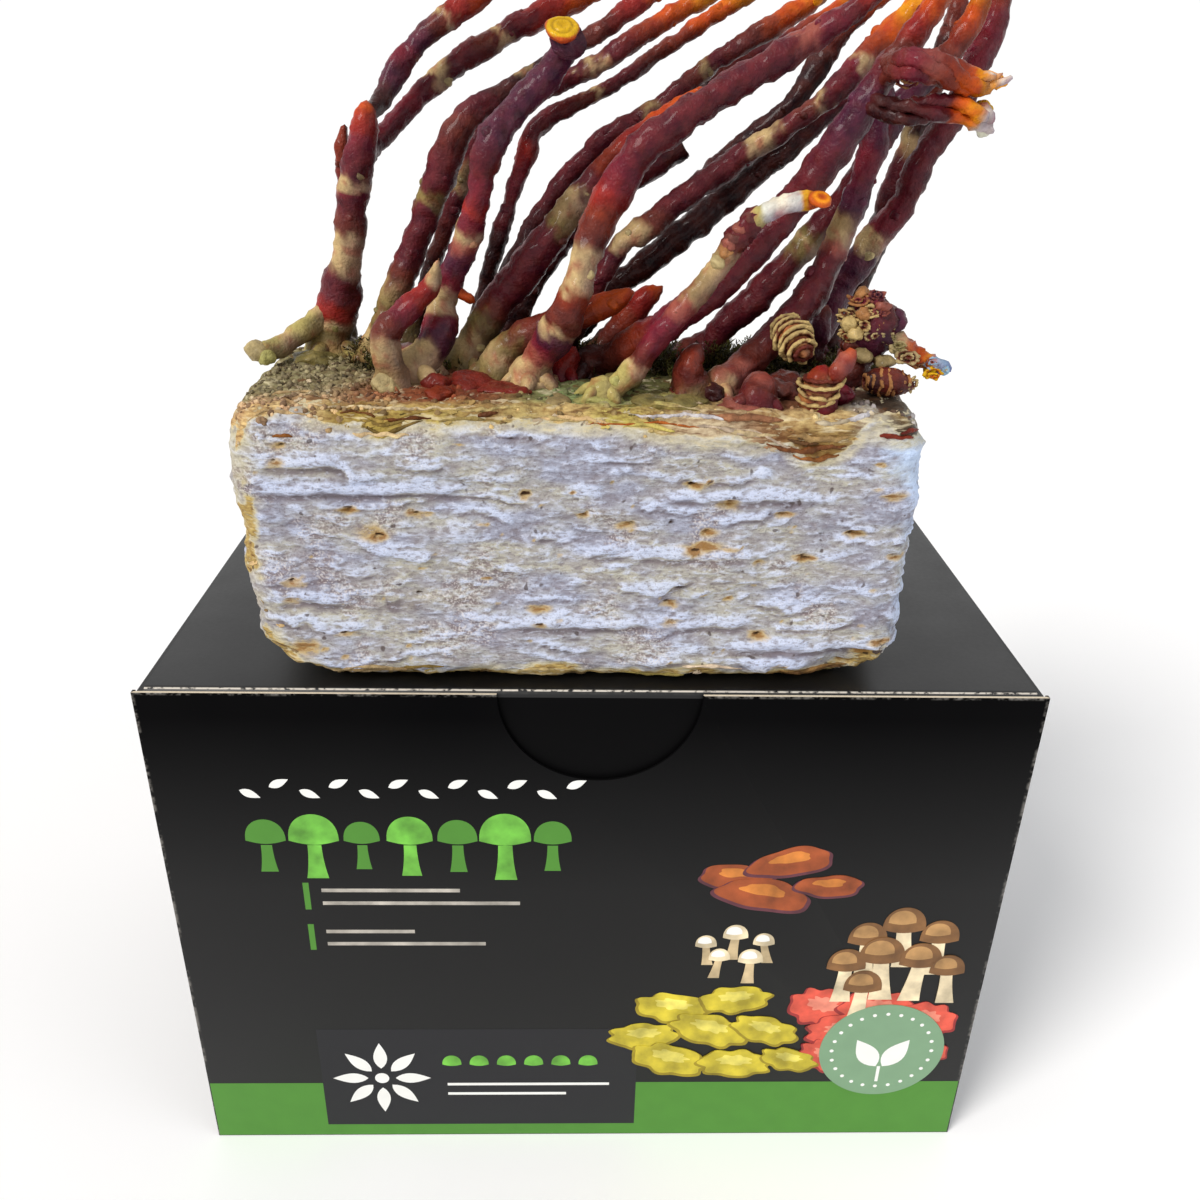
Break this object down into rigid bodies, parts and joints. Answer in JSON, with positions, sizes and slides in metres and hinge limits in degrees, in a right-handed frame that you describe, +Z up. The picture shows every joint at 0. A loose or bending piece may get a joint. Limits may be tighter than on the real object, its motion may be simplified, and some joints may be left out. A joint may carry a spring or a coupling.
{
  "type": "reishi mushroom grow kit",
  "caption": "Block of white reishi mycelium with long lacquered antler stems, standing on its closed black folding carton with a thumb notch.",
  "frame": {"origin": "centre of the carton's bottom", "axes": "+X to the right along the long front, +Y to the back, +Z up"},
  "size_m": [0.28, 0.168, 0.4027],
  "materials": {
    "black_card": "satin black printed card",
    "mycelium_skin": "matte, bluish-white mycelium over sawdust",
    "dried_cream": "matte, dried cream and brown rings",
    "dried_crust": "matte crust",
    "growing_orange": "glossy orange growing stem",
    "young_red": "glossy red young stem",
    "young_brown": "satin brown young stem",
    "pale_shoot": "satin pale yellow-green shoot",
    "white_tip": "matte white growing tip",
    "lacquered_maroon": "glossy lacquered maroon stem"
  },
  "bodies": {
    "root": {"front_wall": "black_card", "back_wall": "black_card", "left_wall": "black_card", "right_wall": "black_card", "lid": "black_card", "lid_dust_flap_left": "black_card", "lid_dust_flap_right": "black_card", "bottom_outer_flap": "black_card", "bottom_inner_flap": "black_card", "bottom_dust_flap_left": "black_card", "bottom_dust_flap_right": "black_card", "mycelium_block": "mycelium_skin", "antler_left": "lacquered_maroon", "antler_left_back": "lacquered_maroon", "antler_second": "lacquered_maroon", "antler_second_back": "lacquered_maroon", "antler_capped": "lacquered_maroon", "stub_pale_tip": "pale_shoot", "antler_thin": "lacquered_maroon", "antler_orange_tip": "growing_orange", "antler_dark_long": "lacquered_maroon", "antler_cut": "lacquered_maroon", "antler_front": "lacquered_maroon", "antler_banded": "lacquered_maroon", "antler_shadow": "lacquered_maroon", "stub_orange_left": "growing_orange", "stub_orange_right": "growing_orange", "bud_red_middle": "young_red", "antler_pale_foot": "pale_shoot", "antler_broad": "lacquered_maroon", "antler_right_inner": "lacquered_maroon", "antler_right_glossy": "lacquered_maroon", "antler_right_back": "lacquered_maroon", "antler_right_outer": "lacquered_maroon", "bud_brown_tall": "young_brown", "bud_brown_front": "young_brown", "ringed_stub_front": "dried_cream", "stub_crusted": "dried_crust", "ringed_cone": "dried_cream", "bud_purple": "lacquered_maroon", "shoot_left_pale": "pale_shoot", "fork_left_upper": "lacquered_maroon", "fork_left_lower": "lacquered_maroon", "bud_red_left": "young_red", "fork_dark_long": "lacquered_maroon", "fork_banded": "lacquered_maroon", "shoot_white_tip": "white_tip", "wilted_upper": "lacquered_maroon", "wilted_lower": "lacquered_maroon", "ringed_stub_pale": "dried_cream", "horn_orange": "growing_orange", "shoot_blue_tip": "lacquered_maroon"}
  },
  "joints": []
}
